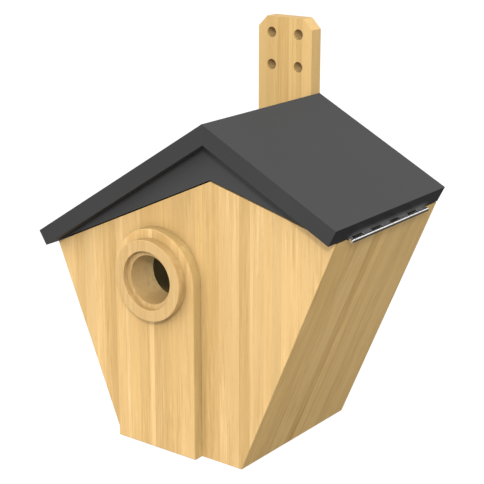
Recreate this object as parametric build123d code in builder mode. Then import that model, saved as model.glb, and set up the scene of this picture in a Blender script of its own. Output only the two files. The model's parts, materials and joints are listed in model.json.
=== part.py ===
from build123d import *
from math import cos, radians, sin, tan
import os

# Birdhouse with walls that lean outwards and a lopsided pitched lid, hinged along its right eave.
# It hangs by a strip behind it. The front looks towards -y and the underside lies on z = 0.
# Sizes are in millimetres. Outlines are drawn as (x, z), with x = 0 on the house's middle line.
# Depths are y measured backwards from the front panel's face. The origin is the middle of the
# bounding box at the base, so upright() and at() shift those figures into the part's frame.

# Boards and the play around the lid
board = 11.0
lid_gap = 0.4
gable_gap = 0.7
hinge_joint_gap = 1.2

# House
base_width = 102.0
house_depth = 115.0
wall_lean = 22.75
panel_peak = Vector(27.1, 183.5)

# Roof: top of the ridge, slopes in degrees and lengths down each slope
ridge = Vector(28.5, 220.5)
left_slope = 32.8
right_slope = 27.0
left_roof_length = 165.5
right_roof_length = 107.5
front_overhang = 9.5
gable_inset_left = 5.0
gable_inset_right = 1.0

# Entrance
entrance_x = -12.9
entrance_z = 116.0
entrance_diameter = 32.0
entrance_board_width = 64.7
entrance_board_thickness = 7.5
entrance_board_chamfer = 0.4
ring_diameter = 53.0
ring_height = 6.7
ring_recess_diameter = 38.4
ring_recess_depth = 3.7
ring_edge_radius = 0.4
spigot_radius = 19.0
spigot_play = 0.1

# Mounting strip
strip_width = 43.0
strip_thickness = 10.5
strip_height = 267.7
strip_corner = 7.0
strip_hole_radius = 3.5

# Hinge: the axis stands out of the roof's end face, level with the middle of the lid joint
hinge_length = 87.0
hinge_start = 11.5
hinge_stand_off = 2.4
knuckle_radius = 1.2
knuckle_length = 10.3
first_knuckle_length = 3.2
knuckle_count = 9
knuckle_side_play = 0.15
knuckle_clearance = 1.3
leaf_thickness = 0.8
leaf_gap = 0.4
leaf_reach = 11.7
leaf_recess_play = 0.2
pin_radius = 0.65
pin_play = 0.05

# Floor drainage, dowels and screws
drain_radius = 3.0
drain_spacing_x = 56.0
drain_spacing_y = 66.0
floor_dowel_radius = 2.5
floor_dowel_length = 12.0
floor_dowel_spacing = 48.0
roof_dowel_radius = 2.0
roof_dowel_length = 8.0
roof_dowel_spacing = 38.0
hinge_screw_spacing = 34.0
recess_share = 0.55


def meet(point_a, direction_a, point_b, direction_b):
    """Where two lines of the (x, z) outline cross."""
    turn = direction_a.X * direction_b.Y - direction_a.Y * direction_b.X
    gap = point_b - point_a
    return point_a + direction_a * ((gap.X * direction_b.Y - gap.Y * direction_b.X) / turn)


# Directions down each slope, and square to it into the house
left_down = Vector(-cos(radians(left_slope)), -sin(radians(left_slope)))
right_down = Vector(cos(radians(right_slope)), -sin(radians(right_slope)))
left_inward = Vector(sin(radians(left_slope)), -cos(radians(left_slope)))
right_inward = Vector(-sin(radians(right_slope)), -cos(radians(right_slope)))

# Corners of the roof's cross-section
left_eave = ridge + left_down * left_roof_length
right_eave = ridge + right_down * right_roof_length
left_eave_under = left_eave + left_inward * board
right_eave_under = right_eave + right_inward * board
under_ridge = meet(left_eave_under, left_down, right_eave_under, right_down)

# Outer corners of the walls, which stop just below the roof
left_foot = Vector(-base_width / 2, 0)
right_foot = Vector(base_width / 2, 0)
left_up = Vector(-sin(radians(wall_lean)), cos(radians(wall_lean)))
right_up = Vector(sin(radians(wall_lean)), cos(radians(wall_lean)))
left_seat = left_eave_under + left_inward * lid_gap
right_seat = right_eave_under + right_inward * hinge_joint_gap
left_top = meet(left_foot, left_up, left_seat, left_down)
right_top = meet(right_foot, right_up, right_seat, right_down)

# Inner corners, one board's thickness inside
wall_run = board / cos(radians(wall_lean))
left_foot_inner = left_foot + Vector(wall_run, 0)
right_foot_inner = right_foot - Vector(wall_run, 0)
left_top_inner = meet(left_foot_inner, left_up, left_seat, left_down)
right_top_inner = meet(right_foot_inner, right_up, right_seat, right_down)

# The whole box, whose middle is the origin
roof_back = house_depth - lid_gap
ring_front = entrance_board_thickness + ring_height
strip_back = house_depth + strip_thickness
mid_x = (left_eave.X + right_eave.X) / 2
mid_y = (strip_back - ring_front) / 2
middle_depth = house_depth / 2


def upright(depth):
    """The (x, z) plane at a depth behind the front face, looking forwards."""
    return Plane(origin=(-mid_x, depth - mid_y, 0), x_dir=(1, 0, 0), z_dir=(0, -1, 0))


def at(x, depth, z):
    """A point of the house in the part's frame."""
    return Vector(x - mid_x, depth - mid_y, z)


def upright_board(outline, front, back):
    """A flat board with an (x, z) outline, from one depth to another."""
    with BuildPart() as blank:
        with BuildSketch(upright(back)):
            Polygon(*[(point.X, point.Y) for point in outline], align=None)
        extrude(amount=back - front)
    return blank.part


def mitre(side, depth, facing):
    """The 45 degree plane at a slanted corner: side -1 left or 1 right, facing -1 front or 1 back."""
    inward = Vector(-side * cos(radians(wall_lean)), 0, sin(radians(wall_lean)))
    return Plane(origin=at(side * base_width / 2, depth, 0), z_dir=inward + Vector(0, facing, 0))


def screw_shape(length, shank_radius, head_radius, head_height):
    """A countersunk screw's outer shape, its head flush with z = 0 and its point downwards."""
    tip = 2 * shank_radius
    with BuildPart() as blank:
        with BuildSketch(Plane.XZ):
            with BuildLine():
                Polyline(
                    (0, 0),
                    (head_radius, 0),
                    (shank_radius, -head_height),
                    (shank_radius, tip - length),
                    (0, -length),
                    close=True,
                )
            make_face()
        revolve(axis=Axis.Z)
    return blank.part


def placed_copies(shape, places):
    """The same solid at every place, as one group."""
    with BuildPart() as group:
        with Locations(*places):
            add(shape)
    return group.part


def cross_recess(head_radius, head_height):
    """The cross that a driver fits, as a cutter."""
    with BuildPart() as cutter:
        with BuildSketch(Plane.XY):
            Rectangle(2 * recess_share * head_radius, 0.3 * head_radius)
            Rectangle(0.3 * head_radius, 2 * recess_share * head_radius)
        extrude(amount=-0.6 * head_height)
    return cutter.part


def screws(places, size):
    """Screws of one size with their cross recesses, as separate solids."""
    head_radius, head_height = size[2:]
    shape = screw_shape(*size)
    recess = cross_recess(head_radius, head_height)
    with BuildPart() as group:
        with Locations(*places):
            add(shape)
            add(recess, mode=Mode.SUBTRACT)
    return group.part


# Screw sizes: length, shank radius, head radius, head height
strip_screw = (18.0, 1.9, 3.9, 2.4)
entrance_screw = (15.0, 1.5, 2.9, 1.8)
hinge_lid_screw = (8.0, 1.1, 2.1, leaf_thickness)
hinge_wall_screw = (12.0, 1.1, 2.1, leaf_thickness)

# Places of the screws in the panels, with the z axis pointing out of the head
strip_screw_places = [
    Plane(origin=at(x, strip_back, z), z_dir=(0, 1, 0)).location
    for x in (-strip_width / 4, strip_width / 4)
    for z in (35.0, 150.0)
]
entrance_screw_places = [
    Plane(origin=at(entrance_x + dx, board, z), z_dir=(0, 1, 0)).location
    for dx, z in ((-20.0, 24.0), (20.0, 24.0), (0.0, 80.0))
]

# Places of the dowels
floor_dowel_places = [
    Plane(origin=at(x, depth, board / 2), z_dir=(0, 1, 0)).location
    for x in (-floor_dowel_spacing / 2, floor_dowel_spacing / 2)
    for depth in (board, house_depth - board)
]
ridge_middle = (ridge + under_ridge) * 0.5
ridge_joint = (ridge - under_ridge).normalized()
roof_dowel_places = [
    Plane(
        origin=at(ridge_middle.X, middle_depth + step * roof_dowel_spacing, ridge_middle.Y),
        z_dir=(ridge_joint.Y, 0, -ridge_joint.X),
    ).location
    for step in (-1, 0, 1)
]

# Hinge frame: u outwards along the right slope, v square to it and up
hinge_axis = (
    right_eave_under + right_inward * (hinge_joint_gap / 2) + right_down * hinge_stand_off
)
hinge_middle = hinge_start + hinge_length / 2
hinge_end = hinge_start + hinge_length
hinge_out = Vector(right_down.X, 0, right_down.Y)
hinge_above = Vector(-right_inward.X, 0, -right_inward.Y)


def hinge_section(depth):
    """The (u, v) plane across the hinge, with its origin on the pin's axis."""
    origin = at(hinge_axis.X, depth, hinge_axis.Y)
    return Plane(origin=origin, x_dir=hinge_out, z_dir=(0, -1, 0))


def hinge_screw_places(side):
    """Screw places on the lid's leaf, side 1, or the wall's leaf, side -1."""
    middle = at(hinge_axis.X, hinge_middle, hinge_axis.Y)
    origin = middle - hinge_out * (leaf_reach / 2 + 1.0) + hinge_above * (side * leaf_gap / 2)
    face = Plane(origin=origin, x_dir=(0, 1, 0), z_dir=hinge_above * -side)
    return [face.location * Pos(step * hinge_screw_spacing, 0, 0) for step in (-1, 0, 1)]


def knuckle_spans():
    """Where each knuckle starts and ends, from front to back."""
    inner = [hinge_start + first_knuckle_length + knuckle_length * n for n in range(knuckle_count - 1)]
    edges = [hinge_start] + inner + [hinge_end]
    return list(zip(edges[:-1], edges[1:]))


def leaf_recess(side):
    """The shallow recess that one leaf is let into, as a cutter."""
    depth_in_wood = leaf_gap / 2 + leaf_thickness
    length = hinge_length + 2 * leaf_recess_play
    width = leaf_reach + leaf_recess_play
    with BuildPart() as cutter:
        with BuildSketch(hinge_section(hinge_end + leaf_recess_play)):
            with Locations((-width / 2, side * depth_in_wood / 2)):
                Rectangle(width, depth_in_wood)
        extrude(amount=length)
    return cutter.part


def hinge_leaf(side, first_knuckle, bore_radius, screw_space):
    """A leaf with every second knuckle: side 1 lies on the lid, side -1 on the wall."""
    notch = knuckle_radius + knuckle_clearance
    with BuildPart() as leaf:
        with BuildSketch(hinge_section(hinge_end)):
            Circle(knuckle_radius)
            with Locations((-leaf_reach / 2, side * (leaf_gap + leaf_thickness) / 2)):
                Rectangle(leaf_reach, leaf_thickness)
        extrude(amount=hinge_length)
        for number, (start, end) in enumerate(knuckle_spans()):
            if number % 2 != first_knuckle:
                with BuildSketch(hinge_section(end + knuckle_side_play)):
                    Rectangle(2 * notch, 2 * notch)
                extrude(amount=end - start + 2 * knuckle_side_play, mode=Mode.SUBTRACT)
        with BuildSketch(hinge_section(hinge_end)):
            Circle(bore_radius)
        extrude(amount=hinge_length, mode=Mode.SUBTRACT)
        add(screw_space, mode=Mode.SUBTRACT)
    return leaf.part


# Outlines shared by several boards
panel_outline = [left_foot, right_foot, right_top, panel_peak, left_top]
over_panels = Vector(0, 100)
headroom = [left_top, panel_peak, right_top, right_top + over_panels, left_top + over_panels]
left_wall_outline = [left_foot, left_foot_inner, left_top_inner, left_top]
right_wall_outline = [right_foot, right_top, right_top_inner, right_foot_inner]

# The gables' lower edges stay clear of the panels' top edges
left_edge = (left_top - panel_peak).normalized()
right_edge = (right_top - panel_peak).normalized()
left_lift = Vector(left_edge.Y, -left_edge.X) * gable_gap
right_lift = Vector(-right_edge.Y, right_edge.X) * gable_gap
plumb = Vector(0, 1)
gable_left = left_top + Vector(gable_inset_left, 0)
gable_right = right_top - Vector(gable_inset_right, 0)
gable_outline = [
    meet(gable_left, plumb, left_top + left_lift, left_edge),
    meet(left_top + left_lift, left_edge, right_top + right_lift, right_edge),
    meet(gable_right, plumb, right_top + right_lift, right_edge),
    meet(gable_right, plumb, right_eave_under, right_down),
    under_ridge,
    meet(gable_left, plumb, left_eave_under, left_down),
]


def mitred_panel(front, facing, screw_space):
    """A front or back panel, with the holes for its screws and the floor's dowels."""
    blank = upright_board(panel_outline, front, front + board)
    corner_depth = middle_depth + facing * house_depth / 2
    with BuildPart() as panel:
        add(blank)
        for side in (-1, 1):
            split(bisect_by=mitre(side, corner_depth, facing), keep=Keep.TOP)
        add(screw_space, mode=Mode.SUBTRACT)
        with Locations(*floor_dowel_places):
            Cylinder(floor_dowel_radius, floor_dowel_length, mode=Mode.SUBTRACT)
    return panel.part


def leaning_wall(side, outline):
    """A side wall, mitred at both ends, its top corners cut down to pass under the gables."""
    blank = upright_board(outline, 0, house_depth)
    front_headroom = upright_board(headroom, 0, board + lid_gap)
    back_headroom = upright_board(headroom, roof_back - board - lid_gap, house_depth)
    with BuildPart() as wall:
        add(blank)
        split(bisect_by=mitre(side, 0, -1), keep=Keep.BOTTOM)
        split(bisect_by=mitre(side, house_depth, 1), keep=Keep.BOTTOM)
        add(front_headroom, mode=Mode.SUBTRACT)
        add(back_headroom, mode=Mode.SUBTRACT)
    return wall.part


# Space that the screws and the hinge leaves take out of the wood
entrance_screw_space = placed_copies(screw_shape(*entrance_screw), entrance_screw_places)
strip_screw_space = placed_copies(screw_shape(*strip_screw), strip_screw_places)
lid_screw_space = placed_copies(screw_shape(*hinge_lid_screw), hinge_screw_places(1))
wall_screw_space = placed_copies(screw_shape(*hinge_wall_screw), hinge_screw_places(-1))
lid_leaf_recess = leaf_recess(1)
wall_leaf_recess = leaf_recess(-1)

# Front and back panels, mitred to the walls
front_panel_board = mitred_panel(0, -1, entrance_screw_space)
with BuildPart() as front_panel:
    add(front_panel_board)
    with BuildSketch(upright(board)):
        with Locations((entrance_x, entrance_z)):
            Circle(spigot_radius + spigot_play)
    extrude(amount=board, mode=Mode.SUBTRACT)

back_panel_board = mitred_panel(house_depth - board, 1, strip_screw_space)
with BuildPart() as back_panel:
    add(back_panel_board)

# Side walls. The right one carries the hinge on its top edge.
left_wall_board = leaning_wall(-1, left_wall_outline)
with BuildPart() as left_wall:
    add(left_wall_board)

right_wall_board = leaning_wall(1, right_wall_outline)
with BuildPart() as right_wall:
    add(right_wall_board)
    add(wall_leaf_recess, mode=Mode.SUBTRACT)
    add(wall_screw_space, mode=Mode.SUBTRACT)

# Floor, let in between the walls
floor_outline = [
    left_foot_inner,
    right_foot_inner,
    right_foot_inner + Vector(board * tan(radians(wall_lean)), board),
    left_foot_inner + Vector(-board * tan(radians(wall_lean)), board),
]
floor_blank = upright_board(floor_outline, board, house_depth - board)
with BuildPart() as floor_board:
    add(floor_blank)
    with Locations(Plane(origin=at(0, middle_depth, board))):
        with GridLocations(drain_spacing_x, drain_spacing_y, 2, 2):
            Hole(drain_radius, depth=board)
    with Locations(*floor_dowel_places):
        Cylinder(floor_dowel_radius, floor_dowel_length, mode=Mode.SUBTRACT)

with BuildPart() as floor_dowels:
    with Locations(*floor_dowel_places):
        Cylinder(floor_dowel_radius, floor_dowel_length)

# Entrance board with a round top about the hole
with BuildPart() as entrance_board:
    with BuildSketch(upright(0)):
        with Locations((entrance_x, entrance_z)):
            Circle(entrance_board_width / 2)
        with Locations((entrance_x, entrance_z / 2)):
            Rectangle(entrance_board_width, entrance_z)
    extrude(amount=entrance_board_thickness)
    chamfer(
        entrance_board.faces().sort_by(Axis.Y)[0].edges(),
        length=entrance_board_chamfer,
    )
    with BuildSketch(upright(0)):
        with Locations((entrance_x, entrance_z)):
            Circle(spigot_radius + spigot_play)
    extrude(amount=entrance_board_thickness, mode=Mode.SUBTRACT)
    add(entrance_screw_space, mode=Mode.SUBTRACT)

# Entrance ring: a flange with a stepped bore and a spigot that reaches the inner face.
# Its profile is (radius, distance forwards of the front panel's face).
entrance_centre = at(entrance_x, 0, entrance_z)
ring_profile = Plane(origin=entrance_centre, x_dir=(1, 0, 0), z_dir=(0, 0, -1))
with BuildPart() as entrance_ring:
    with BuildSketch(ring_profile):
        with BuildLine():
            Polyline(
                (entrance_diameter / 2, -board),
                (entrance_diameter / 2, ring_front - ring_recess_depth),
                (ring_recess_diameter / 2, ring_front - ring_recess_depth),
                (ring_recess_diameter / 2, ring_front),
                (ring_diameter / 2, ring_front),
                (ring_diameter / 2, entrance_board_thickness),
                (spigot_radius, entrance_board_thickness),
                (spigot_radius, -board),
                close=True,
            )
        make_face()
    revolve(axis=Axis(entrance_centre, (0, -1, 0)))
    fillet(entrance_ring.faces().sort_by(Axis.Y)[0].edges(), radius=ring_edge_radius)

entrance_screw_group = screws(entrance_screw_places, entrance_screw)
with BuildPart() as entrance_screws:
    add(entrance_screw_group)

# Mounting strip, with its corners cut off and a square of four holes at its top
strip_hole_spacing = strip_width / 2
strip_hole_z = strip_height - strip_width / 2
with BuildPart() as mounting_strip:
    with BuildSketch(upright(strip_back)) as strip_face:
        with Locations((0, strip_height / 2)):
            Rectangle(strip_width, strip_height)
        chamfer(strip_face.vertices(), length=strip_corner)
        with Locations((0, strip_hole_z)):
            with GridLocations(strip_hole_spacing, strip_hole_spacing, 2, 2):
                Circle(strip_hole_radius, mode=Mode.SUBTRACT)
    extrude(amount=strip_thickness)
    add(strip_screw_space, mode=Mode.SUBTRACT)

strip_screw_group = screws(strip_screw_places, strip_screw)
with BuildPart() as strip_screws:
    add(strip_screw_group)

# Lid: two roof boards mitred along the ridge, and a gable board at each end
left_roof_outline = [left_eave_under, under_ridge, ridge, left_eave]
left_roof_blank = upright_board(left_roof_outline, -front_overhang, roof_back)
with BuildPart() as roof_left_board:
    add(left_roof_blank)
    with Locations(*roof_dowel_places):
        Cylinder(roof_dowel_radius, roof_dowel_length, mode=Mode.SUBTRACT)

right_roof_outline = [under_ridge, right_eave_under, right_eave, ridge]
right_roof_blank = upright_board(right_roof_outline, -front_overhang, roof_back)
with BuildPart() as roof_right_board:
    add(right_roof_blank)
    with Locations(*roof_dowel_places):
        Cylinder(roof_dowel_radius, roof_dowel_length, mode=Mode.SUBTRACT)
    add(lid_leaf_recess, mode=Mode.SUBTRACT)
    add(lid_screw_space, mode=Mode.SUBTRACT)

with BuildPart() as roof_dowels:
    with Locations(*roof_dowel_places):
        Cylinder(roof_dowel_radius, roof_dowel_length)

front_gable_board = upright_board(gable_outline, 0, board)
with BuildPart() as front_gable:
    add(front_gable_board)

back_gable_board = upright_board(gable_outline, roof_back - board, roof_back)
with BuildPart() as back_gable:
    add(back_gable_board)

# Hinge: the knuckles take turns from front to back, five on the lid's leaf and four on the wall's
lid_leaf_plate = hinge_leaf(1, 0, pin_radius + pin_play, lid_screw_space)
with BuildPart() as hinge_lid_leaf:
    add(lid_leaf_plate)

wall_leaf_plate = hinge_leaf(-1, 1, pin_radius, wall_screw_space)
with BuildPart() as hinge_wall_leaf:
    add(wall_leaf_plate)

with BuildPart() as hinge_pin:
    with BuildSketch(hinge_section(hinge_end)):
        Circle(pin_radius)
    extrude(amount=hinge_length)

lid_screw_group = screws(hinge_screw_places(1), hinge_lid_screw)
with BuildPart() as hinge_lid_screws:
    add(lid_screw_group)

wall_screw_group = screws(hinge_screw_places(-1), hinge_wall_screw)
with BuildPart() as hinge_wall_screws:
    add(wall_screw_group)


pieces = {
    "front_panel": front_panel,
    "back_panel": back_panel,
    "left_wall": left_wall,
    "right_wall": right_wall,
    "floor_board": floor_board,
    "floor_dowels": floor_dowels,
    "entrance_board": entrance_board,
    "entrance_ring": entrance_ring,
    "entrance_screws": entrance_screws,
    "mounting_strip": mounting_strip,
    "strip_screws": strip_screws,
    "roof_left_board": roof_left_board,
    "roof_right_board": roof_right_board,
    "roof_dowels": roof_dowels,
    "front_gable": front_gable,
    "back_gable": back_gable,
    "hinge_lid_leaf": hinge_lid_leaf,
    "hinge_wall_leaf": hinge_wall_leaf,
    "hinge_pin": hinge_pin,
    "hinge_lid_screws": hinge_lid_screws,
    "hinge_wall_screws": hinge_wall_screws,
}

os.makedirs("parts", exist_ok=True)
for name, piece in pieces.items():
    piece.part.label = name
    export_step(piece.part, f"parts/{name}.step")
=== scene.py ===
import json
from math import radians

import bmesh
import bpy
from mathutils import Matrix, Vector


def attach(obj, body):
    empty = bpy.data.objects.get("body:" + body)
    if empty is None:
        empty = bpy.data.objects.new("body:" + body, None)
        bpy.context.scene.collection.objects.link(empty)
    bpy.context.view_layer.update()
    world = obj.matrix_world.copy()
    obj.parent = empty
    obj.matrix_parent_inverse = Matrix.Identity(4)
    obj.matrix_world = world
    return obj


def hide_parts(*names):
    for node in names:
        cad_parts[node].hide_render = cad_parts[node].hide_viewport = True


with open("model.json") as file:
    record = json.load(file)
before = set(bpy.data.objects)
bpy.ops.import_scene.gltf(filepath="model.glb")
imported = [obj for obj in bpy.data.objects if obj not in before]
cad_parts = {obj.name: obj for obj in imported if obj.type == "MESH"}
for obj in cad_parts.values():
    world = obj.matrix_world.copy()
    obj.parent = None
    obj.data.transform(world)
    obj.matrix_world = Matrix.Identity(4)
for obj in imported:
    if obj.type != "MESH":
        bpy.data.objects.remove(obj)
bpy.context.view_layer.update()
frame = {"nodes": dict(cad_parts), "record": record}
nodes = frame["nodes"]

bodies_of = {node: body for body, members in frame["record"]["behaviour"]["bodies"].items()
             for node in members}

# The lean of the walls and the slopes of the roof
WALL_LEAN = radians(22.75)
LEFT_SLOPE = radians(32.8)
RIGHT_SLOPE = radians(27.0)
# Places on the house, in metres in the part's frame
ENTRANCE_X = -0.0197
HINGE_X = 0.1143
HINGE_Z = 0.1603
HINGE_FRONT_Y = -0.044
# Where a look starts and ends, in metres: out from the hinge's axis, up from it, out from the
# house's middle and up from its foot
OFF_BARREL = (0.0013, 0.0018)
REFLECTION_ABOVE_HINGE = (0.0010, 0.0065)
REFLECTION_BESIDE_MIDDLE = (0.038, 0.048)
UNSHADED_FOOT = (0.002, 0.012)
# The lists of staves count in millimetres, from points that lie this far off the frame's zero
STAVES_ZERO_X = 6.83
STAVES_ZERO_Y = 55.65

# How the copies of the CAD nodes are joined up and rounded over
BOARD_EDGE = 0.0003
LEAF_EDGE = 0.0001
SHARP_CORNER = radians(30.0)
SAME_PLANE = radians(0.6)
SAME_POINT = 0.000004

# Colours, linear
PALE_WOOD = (0.650, 0.436, 0.194)
DARK_WOOD = (0.470, 0.293, 0.108)
WARM_STAVE = (1.0, 0.985, 0.94)
COOL_STAVE = (0.985, 1.0, 1.03)
WOOD_PORES = (0.33, 0.19, 0.065)
WOOD_END = (0.47, 0.300, 0.120)
WORN_WOOD = (0.44, 0.28, 0.108)
# Painted shade: the tint of the shade in the creases
CREASE_SHADE_TINT = (0.57, 0.65, 0.70)
# Painted shade: the tint of the shaded board sides
SIDE_SHADE_TINT = (0.885, 0.94, 0.94)
PAINT_THICK = (0.0355, 0.0355, 0.0357)
PAINT_THIN = (0.0430, 0.0430, 0.0432)
# Painted light on the faces that turn up
PAINT_LIT_TOP = (0.0480, 0.0480, 0.0482)
# Partly painted shade on the sawn ends
PAINT_SAWN_SHADED = (0.0120, 0.0120, 0.0122)
# Painted reflection of the hinge's barrel
PAINT_HINGE_REFLECTION = (0.115, 0.115, 0.117)
PAINT_WORN = (0.066, 0.065, 0.063)
ZINC = ((0.84, 0.83, 0.81), (0.95, 0.94, 0.93))
PLATE = ((0.9, 0.9, 0.9), (1.1, 1.1, 1.09))
PLATE_IN_JOINT = ((0.34, 0.34, 0.34), (0.42, 0.42, 0.41))
# Painted shade on the hinge
HINGE_SHADE = (0.020, 0.018, 0.016)
FLOOR_TONES = ((0.095, 0.095, 0.095), (0.100, 0.100, 0.100))
WHITE = (1.0, 1.0, 1.0)
STRAY_DAYLIGHT = (0.64, 0.86, 1.0)

# The studio: the floor reaches this far to each side, and lies just under the house
FLOOR_REACH = 12.0
FLOOR_DROP = 0.0002
FLOOR_CORNERS = ((-1, -1), (1, -1), (1, 1), (-1, 1))
LAMP_TARGET = (0.0, 0.0, 0.12)
CHAMBER_LAMPS = (0.002, -0.032, 0.116)
CAMERA_PLACE = (0.5170, -0.6799, 0.3884)
DEGREES_DOWN = 16.932
DEGREES_ROUND = 37.119


def colour(tone, shade=1.0, blue=1.0):
    """A tone with alpha 1, darkened by shade and yellowed by blue below 1."""
    red, green, plain_blue = tone
    return (red * shade, green * shade, plain_blue * shade * blue, 1.0)


# ---------------------------------------------------------------- node helpers

class Graph:
    """A small wrapper that makes the nodes of a material or a world and joins them."""

    def __init__(self, owner):
        owner.use_nodes = True
        self.owner = owner
        self.tree = owner.node_tree
        self.tree.nodes.clear()

    def node(self, kind, values=None, **settings):
        made = self.tree.nodes.new("ShaderNode" + kind)
        for key, value in settings.items():
            setattr(made, key, value)
        for key, value in (values or {}).items():
            self.put(made.inputs[key], value)
        return made

    def put(self, socket, value):
        if isinstance(value, bpy.types.NodeSocket):
            self.tree.links.new(value, socket)
        else:
            socket.default_value = value

    def math(self, operation, *values, clamp=False):
        made = self.node("Math", operation=operation, use_clamp=clamp)
        for number, value in enumerate(values):
            self.put(made.inputs[number], value)
        return made.outputs[0]

    def spread(self, value, low, high, out_low=0.0, out_high=1.0):
        """Goes smoothly from out_low to out_high as value goes from low to high."""
        made = self.node("MapRange", interpolation_type="SMOOTHSTEP")
        for number, entry in enumerate((value, low, high, out_low, out_high)):
            self.put(made.inputs[number], entry)
        return made.outputs[0]

    def fade(self, value, low, high):
        """1 where value is below low, 0 where it is above high."""
        return self.spread(value, low, high, 1.0, 0.0)

    def mix(self, factor, first, second, blend="MIX", clamp=True):
        made = self.node("Mix", data_type="RGBA", blend_type=blend, clamp_factor=clamp)
        # Sockets 0, 6 and 7 and output 2 are the ones this node uses for colours
        self.put(made.inputs[0], factor)
        self.put(made.inputs[6], first)
        self.put(made.inputs[7], second)
        return made.outputs[2]

    def multiply(self, base, tone):
        return self.mix(1.0, base, tone, "MULTIPLY")

    def own(self, output):
        """The object's own coordinates (Object) or the normals in them (Normal)."""
        return self.node("TexCoord").outputs[output]

    def split(self, vector):
        return self.node("SeparateXYZ", {0: vector}).outputs

    def vector(self, x, y, z):
        return self.node("CombineXYZ", {0: x, 1: y, 2: z}).outputs[0]

    def scaled(self, places, scales):
        return self.vector(*[self.math("MULTIPLY", place, scale)
                             for place, scale in zip(places, scales)])

    def noise(self, vector, scale=1.0, detail=3.0, roughness=0.5, distortion=0.0):
        values = {"Vector": vector, "Scale": scale, "Detail": detail,
                  "Roughness": roughness, "Distortion": distortion}
        return self.node("TexNoise", values).outputs["Fac"]

    def board_axes(self, output, order, tilt):
        """Coordinates or normals across, through and along a board, tilted about Y."""
        turned = self.node("VectorRotate", {"Vector": self.own(output), "Angle": tilt},
                           rotation_type="Y_AXIS").outputs[0]
        parts = self.split(turned)
        return [parts["XYZ".index(axis)] for axis in order]

    def end_grain(self, order, tilt):
        """1 on a board's sawn ends and 0 elsewhere."""
        facing_along = self.board_axes("Normal", order, tilt)[2]
        return self.spread(self.math("ABSOLUTE", facing_along), 0.75, 0.95)

    def on_edges(self, amount):
        """The amount on the rounded edges and 0 elsewhere."""
        rim = self.node("Attribute", attribute_name="rim").outputs["Fac"]
        return self.math("MULTIPLY", rim, amount)

    def bump(self, height, strength, distance):
        values = {"Strength": strength, "Distance": distance, "Height": height}
        return self.node("Bump", values).outputs[0]

    def finish(self, values):
        """Ends a material in a Principled surface with these values."""
        surface = self.node("BsdfPrincipled", values)
        self.node("OutputMaterial", {0: surface.outputs[0]})
        return self.owner


# ------------------------------------------------------------------- materials

def listed_staves(g, across, staves):
    """Each stave's tone and its three random numbers, from a list of (start in mm, how dark
    it is). The ramp that holds them covers span metres about zero."""
    span = 0.3
    ramp = g.node("ValToRGB", {0: g.math("MULTIPLY_ADD", across, 1 / span, 0.5)})
    ramp.color_ramp.interpolation = "CONSTANT"
    stops = ramp.color_ramp.elements
    for number, (start, tone) in enumerate(staves):
        at = start / 1000 / span + 0.5
        stop = stops[0] if number == 0 else stops.new(at)
        stop.position = at
        stop.color = (tone, tone, tone, 1)
    stops.remove(stops[-1])
    level = ramp.outputs[0]
    speck = g.node("TexWhiteNoise", {"W": g.math("MULTIPLY", level, 57.3)},
                   noise_dimensions="1D").outputs["Color"]
    chance = g.node("SeparateColor", {0: speck}).outputs
    return g.math("MULTIPLY", level, 0.80), chance


def uneven_staves(g, across, width):
    """Each stave's tone and its three random numbers, for staves about width wide."""
    values = {"W": across, "Scale": 1 / width, "Randomness": 0.75}
    cell = g.node("TexVoronoi", values, voronoi_dimensions="1D").outputs["Color"]
    chance = g.node("SeparateColor", {0: cell}).outputs
    return g.math("MULTIPLY", chance[0], 0.70), chance


def crease_shade(g, crease_shade_reach):
    """Painted shade: darkening in the creases where boards meet, taken from the ambient occlusion
    node and left off near the foot. With a reach given, the shade lies only that far to each side
    of the entrance."""
    crease = g.node("AmbientOcclusion", {"Distance": 0.007}, samples=6).outputs["AO"]
    where = g.split(g.own("Object"))
    amount = g.math("MULTIPLY", g.fade(crease, 0.30, 0.97), g.spread(where[2], *UNSHADED_FOOT))
    if crease_shade_reach:
        beside = g.math("ABSOLUTE", g.math("SUBTRACT", where[0], ENTRANCE_X))
        amount = g.math("MULTIPLY", amount, g.fade(beside, crease_shade_reach, crease_shade_reach * 1.3))
    return g.math("MULTIPLY", amount, 0.48)


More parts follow.
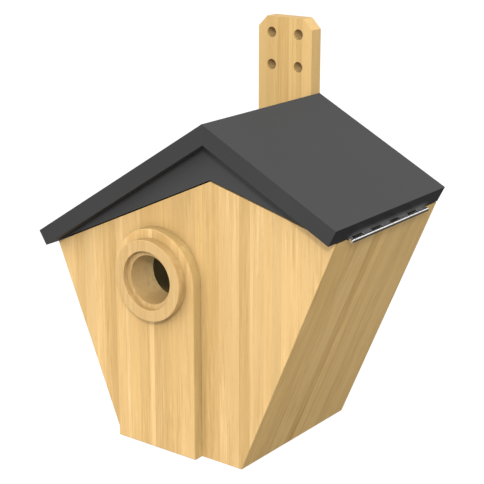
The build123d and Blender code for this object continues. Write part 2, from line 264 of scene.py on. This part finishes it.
def wood(name, order="XYZ", lean=0.0, seed=0.0, width=0.0115, staves=None, shade=1.0,
         contrast=1.0, blue=1.0, crease_shade_reach=0.0, shaded_sides=False):
    """Bare wood of glued staves. order names the object axes that run across the staves,
    through the board and along the grain, and lean tilts the grain about Y. Without a list
    of staves they are about width wide. contrast scales the grain, and blue below 1 yellows
    the wood."""
    g = Graph(bpy.data.materials.new(name))
    across, through, along = g.board_axes("Object", order, lean)
    seeded = g.math("ADD", across, seed)

    # Each stave has its own tone, tint and piece of grain
    if staves:
        stave_tone, chance = listed_staves(g, across, staves)
    else:
        stave_tone, chance = uneven_staves(g, seeded, width)
    shifted = g.math("MULTIPLY_ADD", chance[1], 0.9, along)
    drift = g.math("MULTIPLY_ADD", chance[2], 0.11, through)

    def streaks(scales, detail, roughness, distortion=0.0):
        """Noise squeezed by these scales across, through and along the board."""
        return g.noise(g.scaled((seeded, drift, shifted), scales),
                       detail=detail, roughness=roughness, distortion=distortion)

    rings = g.spread(streaks((150.0, 80.0, 7.0), 2.0, 0.55, 0.5), 0.36, 0.66)
    lines = g.spread(streaks((430.0, 240.0, 17.0), 3.0, 0.62, 0.15), 0.32, 0.68)
    fibre = g.spread(streaks((1150.0, 700.0, 48.0), 3.0, 0.65), 0.32, 0.68)
    pores = g.spread(streaks((2300.0, 1500.0, 120.0), 2.0, 0.5), 0.63, 0.74)
    # Some stretches of each stave are plain and others strongly figured
    figure = g.spread(streaks((75.0, 60.0, 11.0), 2.0, 0.5), 0.40, 0.62, 0.25, 1.25)
    cloud = g.noise(g.scaled((across, through, along), (20.0, 20.0, 9.0)), detail=2.0)

    grain = g.math("MULTIPLY", g.math("SUBTRACT", lines, 0.5), 0.38)
    grain = g.math("MULTIPLY_ADD", g.math("SUBTRACT", fibre, 0.5), 0.34, grain)
    grain = g.math("MULTIPLY", grain, figure)
    tone = g.math("MULTIPLY_ADD", rings, 0.18 * contrast, stave_tone)
    tone = g.math("MULTIPLY_ADD", grain, contrast, tone)
    tone = g.math("MULTIPLY_ADD", g.math("SUBTRACT", cloud, 0.5), 0.35, tone)
    base = g.mix(tone, colour(PALE_WOOD, shade, blue), colour(DARK_WOOD, shade, blue), clamp=False)
    base = g.multiply(base, g.mix(chance[1], colour(WARM_STAVE), colour(COOL_STAVE)))
    base = g.mix(g.math("MULTIPLY", pores, 0.28), base, colour(WOOD_PORES, shade))
    base = g.mix(g.end_grain(order, lean), base, colour(WOOD_END, shade))
    # Handling has burnished the edges a little
    burnished = g.on_edges(g.spread(cloud, 0.3, 0.7, 0.12, 0.42))
    base = g.mix(burnished, base, colour(WORN_WOOD, shade))
    # Painted shade darkens the creases
    base = g.mix(crease_shade(g, crease_shade_reach), base, g.multiply(base, colour(CREASE_SHADE_TINT)))
    if shaded_sides:
        # Painted shade: the sawn sides are darker and greener than the planed face
        facing_through = g.board_axes("Normal", order, lean)[1]
        side = g.fade(g.math("ABSOLUTE", facing_through), 0.45, 0.75)
        base = g.mix(side, base, g.multiply(base, colour(SIDE_SHADE_TINT)))

    height = g.math("MULTIPLY_ADD", pores, -0.6, fibre)
    height = g.math("MULTIPLY_ADD", lines, 0.6, height)
    return g.finish({"Base Color": base, "Specular IOR Level": 0.2,
                     "Roughness": g.math("MULTIPLY_ADD", fibre, 0.20, 0.50),
                     "Normal": g.bump(height, 0.25, 0.00025)})


def painted(name, order="XYZ", slope=0.0, seed=0.0, shade=1.0, hinge_reflection=False):
    """Dark grey satin paint on wood: the grain just shows through the film. When asked, the sawn
    end is painted paler along the hinge, a painted reflection of the hinge's barrel."""
    g = Graph(bpy.data.materials.new(name))
    across, through, along = g.board_axes("Object", order, slope)
    places = (g.math("ADD", across, seed), through, along)
    place = g.vector(*places)
    grain = g.noise(g.scaled(places, (700.0, 500.0, 22.0)), roughness=0.6)
    skin = g.noise(place, 1900.0, detail=2.0)
    cloud = g.noise(place, 16.0, detail=2.0)
    tone = g.math("MULTIPLY_ADD", grain, 0.35, g.math("MULTIPLY", cloud, 0.65), clamp=True)
    base = g.mix(tone, colour(PAINT_THICK, shade), colour(PAINT_THIN, shade))

    # Painted light: the faces that turn up are painted lighter
    facing_up = g.split(g.own("Normal"))[2]
    end_grain = g.end_grain(order, slope)
    base = g.mix(g.spread(facing_up, 0.60, 0.80, 0.0, 0.9), base, colour(PAINT_LIT_TOP))
    # The sawn ends are painted darker: partly end grain that drank the paint, partly painted shade
    # on these downward-turned faces
    base = g.mix(end_grain, base, colour(PAINT_SAWN_SHADED))
    # Painted reflection of the hinge's barrel on the sawn end
    if hinge_reflection:
        where = g.split(g.own("Object"))
        above = g.fade(g.math("SUBTRACT", where[2], HINGE_Z), *REFLECTION_ABOVE_HINGE)
        beside = g.fade(g.math("ABSOLUTE", where[1]), *REFLECTION_BESIDE_MIDDLE)
        pale = g.math("MULTIPLY", g.math("MULTIPLY", above, beside), end_grain)
        base = g.mix(pale, base, colour(PAINT_HINGE_REFLECTION))
    base = g.mix(g.on_edges(g.spread(cloud, 0.35, 0.7, 0.1, 0.5)), base, colour(PAINT_WORN))

    return g.finish({"Base Color": base, "Specular IOR Level": 0.02,
                     "Roughness": g.math("MULTIPLY_ADD", cloud, 0.14, 0.38),
                     "Normal": g.bump(g.math("MULTIPLY_ADD", skin, 0.5, grain), 0.10, 0.0002)})


def steel(name, rough, order="XYZ", plate=None):
    """Zinc-plated steel with fine drawing lines. With plate it is a piece of the hinge: polished
    on the barrel, of that tone beyond it, and painted dark where it doesn't face up, a painted
    shade."""
    g = Graph(bpy.data.materials.new(name))
    place = g.own("Object")
    where = g.split(place)
    in_order = [where["XYZ".index(axis)] for axis in order]
    lines = g.noise(g.scaled(in_order, (4000.0, 4000.0, 90.0)), roughness=0.6)
    cloud = g.noise(place, 140.0, roughness=0.6)

    def clouded(tones, shade=1.0):
        return g.mix(cloud, colour(tones[0], shade), colour(tones[1], shade))

    base = clouded(ZINC)
    gloss = g.math("MULTIPLY_ADD", lines, 0.12, rough)
    if plate:
        from_pin = g.vector(g.math("SUBTRACT", where[0], HINGE_X), 0.0,
                            g.math("SUBTRACT", where[2], HINGE_Z))
        distance = g.node("VectorMath", {0: from_pin}, operation="LENGTH").outputs["Value"]
        beyond = g.spread(distance, *OFF_BARREL)
        base = g.mix(beyond, base, clouded(PLATE, plate))
        facing = g.split(g.own("Normal"))
        # Painted shade darkens the hinge wherever it doesn't face up, except on the hinge's front
        # end
        at_front = g.math("LESS_THAN", where[1], HINGE_FRONT_Y)
        unshaded = g.math("MULTIPLY_ADD", g.math("ABSOLUTE", facing[1]), at_front, facing[2])
        unshaded = g.math("MULTIPLY_ADD", cloud, 0.1, unshaded)
        painted_shade = g.math("MULTIPLY", g.fade(unshaded, 0.28, 0.42), 0.97)
        base = g.mix(painted_shade, base, colour(HINGE_SHADE))
        gloss = g.math("MULTIPLY_ADD", painted_shade, 0.3, gloss)
        # Inside the lid's joint, on faces turned down, the metal is a dull grey instead of the
        # painted shade
        inside = g.math("MULTIPLY", beyond, g.fade(facing[2], -0.85, -0.70))
        base = g.mix(inside, base, clouded(PLATE_IN_JOINT))
    return g.finish({"Base Color": base, "Roughness": gloss, "Metallic": 1.0,
                     "Normal": g.bump(lines, 0.10, 0.0001)})


# ---------------------------------------------------------------------- pieces

def softened(name, radius):
    """A copy of a CAD node with its coplanar triangles joined and its edges rounded over. It
    stands for the node, which it hides, and rides on the same body."""
    mesh = bpy.data.meshes.new(name + "_shaped")
    shape = bmesh.new()
    shape.from_mesh(nodes[name].data)
    rim = shape.faces.layers.float.new("rim")
    bmesh.ops.remove_doubles(shape, verts=shape.verts, dist=SAME_POINT)
    bmesh.ops.dissolve_limit(shape, angle_limit=SAME_PLANE, verts=shape.verts, edges=shape.edges)
    corners = [edge for edge in shape.edges
               if len(edge.link_faces) == 2 and edge.calc_face_angle() > SHARP_CORNER]
    rounded = bmesh.ops.bevel(shape, geom=corners, offset=radius, offset_type="OFFSET",
                              segments=2, profile=0.5, affect="EDGES", clamp_overlap=True)
    for face in rounded["faces"]:
        face[rim] = 1.0
    for face in shape.faces:
        face.smooth = True
    shape.to_mesh(mesh)
    shape.free()
    piece = bpy.data.objects.new(name + "_shaped", mesh)
    bpy.context.scene.collection.objects.link(piece)
    evened = piece.modifiers.new("even_normals", "WEIGHTED_NORMAL")
    evened.mode = "FACE_AREA"
    evened.weight = 100
    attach(piece, bodies_of[name])
    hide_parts(name)
    return piece


def dress(name, material, radius=0.0):
    """Gives a node its material, on a copy with rounded edges if there is a radius."""
    piece = softened(name, radius) if radius else nodes[name]
    piece.data.materials.clear()
    piece.data.materials.append(material)


def from_zero(zero, staves):
    """Staves with their starts moved into the part's frame."""
    return [(start - zero, tone) for start, tone in staves]


# The dark staves from -57, -30 and -4 mm are partly painted shade, beside the entrance board's
# left edge and above its arch
front_staves = from_zero(STAVES_ZERO_X, [
    (-120, 0.0), (-87.5, 0.60), (-79, 0.14), (-71.5, 0.0), (-63, 0.55), (-57, 0.78), (-51, 0.30),
    (-48, 0.06), (-45, 0.42), (-30, 0.76), (-4, 0.84), (14, 0.36), (20, 0.62), (33.5, 0.24),
    (48.5, 0.84), (57, 0.14), (59.5, 0.38), (67, 0.22), (73, 0.50), (80, 0.20), (96, 0.32)])
entrance_staves = from_zero(STAVES_ZERO_X, [
    (-46, 0.28), (-37.5, 0.03), (-35, 0.36), (-27, 0.62), (-17.5, 0.05), (-13.2, 0.96),
    (-2, 0.60), (7, 0.42)])
right_wall_staves = from_zero(STAVES_ZERO_Y, [
    (0, 0.45), (15, 0.62), (28, 0.30), (44.5, 0.86), (54, 0.12), (61.5, 0.52), (66, 0.33),
    (80, 0.57), (93, 0.37), (104, 0.49)])
strip_staves = from_zero(STAVES_ZERO_X, [
    (-22, 0.35), (-16.5, 0.52), (-6.5, 0.72), (2.5, 0.12), (4.5, 0.56), (6, 0.18), (9, 0.62),
    (13.5, 0.12)])
ring_staves = [(-100, 0.40)]

board_woods = {
    "front_panel": wood("front_wood", staves=front_staves, shade=0.965, crease_shade_reach=0.042),
    "back_panel": wood("back_wood", seed=0.741),
    "entrance_board": wood("entrance_wood", seed=0.3, staves=entrance_staves, shaded_sides=True),
    "mounting_strip": wood("strip_wood", seed=0.1, staves=strip_staves, shade=0.90,
                           contrast=0.7, blue=0.94),
    # Painted shade: the right wall's wood is darkened and yellowed to the tone of that shaded side
    "right_wall": wood("right_wall_wood", order="YXZ", lean=-WALL_LEAN, seed=0.7,
                       staves=right_wall_staves, shade=0.905, blue=0.87),
    "left_wall": wood("left_wall_wood", order="YXZ", lean=WALL_LEAN, seed=0.915),
    "floor_board": wood("floor_wood", order="XZY", seed=0.655),
    "entrance_ring": wood("ring_wood", seed=0.404, staves=ring_staves, shade=0.865),
}
for name, material in board_woods.items():
    dress(name, material, BOARD_EDGE)

dowel_wood = wood("dowel_wood", order="XZY", seed=0.2, width=0.03)
for name in ("floor_dowels", "roof_dowels"):
    dress(name, dowel_wood)

dress("roof_left_board", painted("roof_paint_left", order="YZX", slope=LEFT_SLOPE), BOARD_EDGE)
dress("roof_right_board", painted("roof_paint_right", order="YZX", slope=-RIGHT_SLOPE,
                                  seed=0.3, hinge_reflection=True), BOARD_EDGE)
gable_paint = painted("gable_paint", seed=0.6, shade=1.3)
for name in ("front_gable", "back_gable"):
    dress(name, gable_paint, BOARD_EDGE)

hinge_steel = steel("hinge_steel", rough=0.20, order="XZY", plate=0.38)
# Painted reflection: the lid leaf's plate is lighter, for the barrel's reflection on its wraps
# between the notches
lid_leaf_steel = steel("lid_leaf_steel", rough=0.20, order="XZY", plate=0.90)
dress("hinge_lid_leaf", lid_leaf_steel, LEAF_EDGE)
dress("hinge_wall_leaf", hinge_steel, LEAF_EDGE)
dress("hinge_pin", hinge_steel)
screw_steel = steel("screw_steel", rough=0.3)
for name in ("entrance_screws", "strip_screws", "hinge_lid_screws", "hinge_wall_screws"):
    dress(name, screw_steel)


# ------------------------------------------------------------- floor and light

def floor_material():
    """A pale glowing table, which looks white and lights the house a little from below."""
    g = Graph(bpy.data.materials.new("studio_floor"))
    speck = g.noise(g.own("Object"), 3.0, detail=2.0)
    seen = g.node("LightPath").outputs["Is Camera Ray"]
    return g.finish({"Base Color": g.mix(speck, colour(FLOOR_TONES[0]), colour(FLOOR_TONES[1])),
                     "Roughness": 0.9, "Specular IOR Level": 0.0,
                     "Emission Color": colour(WHITE),
                     "Emission Strength": g.spread(seen, 0.0, 1.0, 0.48, 0.93)})


floor_mesh = bpy.data.meshes.new("studio_floor")
floor_mesh.from_pydata([(x * FLOOR_REACH, y * FLOOR_REACH, 0) for x, y in FLOOR_CORNERS],
                       [], [(0, 1, 2, 3)])
floor = bpy.data.objects.new("studio_floor", floor_mesh)
floor.location.z = -FLOOR_DROP
floor_mesh.materials.append(floor_material())
bpy.context.scene.collection.objects.link(floor)


def studio_world(bright, dim, towards):
    """An even studio tent, brighter in front and above than at the right and behind. The
    camera sees it plain white."""
    world = bpy.data.worlds.new("studio")
    g = Graph(world)
    way = g.node("TexCoord").outputs["Generated"]
    facing = g.node("VectorMath", {0: way, 1: Vector(towards).normalized()},
                    operation="DOT_PRODUCT").outputs["Value"]
    level = g.spread(facing, -0.3, 1.0, dim, bright)
    seen = g.node("LightPath").outputs["Is Camera Ray"]
    # Sockets 2 and 3 are the plain numbers that this node mixes
    strength = g.node("Mix", {0: seen, 2: level, 3: 1.0}).outputs[0]
    tent = g.node("Background", {"Color": colour(WHITE), "Strength": strength})
    g.node("OutputWorld", {0: tent.outputs[0]})
    bpy.context.scene.world = world


def softbox(name, place, size, power, target=LAMP_TARGET):
    """A round lamp, size metres across and of power watts, at place and aimed at target."""
    light = bpy.data.lights.new(name, "AREA")
    light.shape = "DISK"
    light.size = size
    light.energy = power
    lamp = bpy.data.objects.new(name, light)
    lamp.location = place
    aim = Vector(target) - Vector(place)
    lamp.rotation_euler = aim.to_track_quat("-Z", "Y").to_euler()
    bpy.context.scene.collection.objects.link(lamp)
    return lamp


studio_world(bright=2.16, dim=0.44, towards=(-0.25, -0.44, 0.86))
softbox("key_light", (1.32, -1.80, 1.40), 0.32, 33.0)
# Two faint lamps stand in for the daylight that strays into the chamber
for name, power, target in (("bore_glow", 0.0034, (-0.036, -0.056, 0.116)),
                            ("chamber_glow", 0.0042, (-0.060, 0.050, 0.090))):
    lamp = softbox(name, CHAMBER_LAMPS, 0.02, power, target)
    lamp.visible_camera = False
    lamp.data.color = STRAY_DAYLIGHT
# A wide lamp behind the house that shows only in gloss, as the highlight along the barrel
softbox("glint", (0.30, 0.90, 0.90), 0.9, 1.7).visible_diffuse = False

view = bpy.context.scene.view_settings
view.view_transform = "Standard"
view.look = "None"

camera_data = bpy.data.cameras.new("camera")
camera_data.lens = 101.73
camera_data.sensor_width = 36.0
camera_data.clip_end = 60.0
camera = bpy.data.objects.new("camera", camera_data)
camera.location = CAMERA_PLACE
camera.rotation_euler = (radians(90 - DEGREES_DOWN), 0, radians(DEGREES_ROUND))
bpy.context.scene.collection.objects.link(camera)
bpy.context.scene.camera = camera
